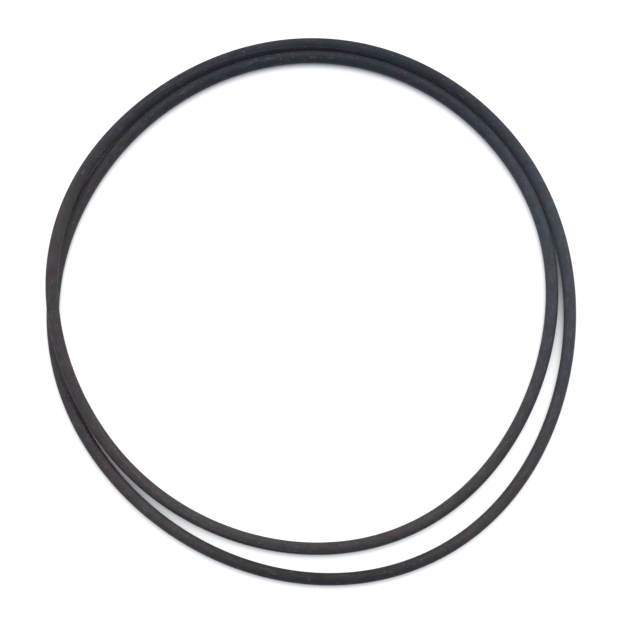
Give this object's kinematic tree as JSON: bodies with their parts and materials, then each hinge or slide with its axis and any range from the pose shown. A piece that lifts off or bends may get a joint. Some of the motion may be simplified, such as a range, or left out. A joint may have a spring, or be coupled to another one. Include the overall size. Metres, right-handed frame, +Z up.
{
  "type": "rubber o-ring",
  "caption": "Large round-section rubber seal ring, laid flat doubled into side-by-side turns with one turn crossing over the other.",
  "frame": {"origin": "on the surface the ring lies on, under the middle of the coil's box", "axes": "+Z up from the surface, +X to the right and +Y to the top of the picture, which looks straight down"},
  "size_m": [0.2264, 0.234, 0.0108],
  "materials": {
    "rubber": "satin, moulded black nitrile rubber"
  },
  "bodies": {
    "root": {"o_ring": "rubber"}
  },
  "joints": []
}
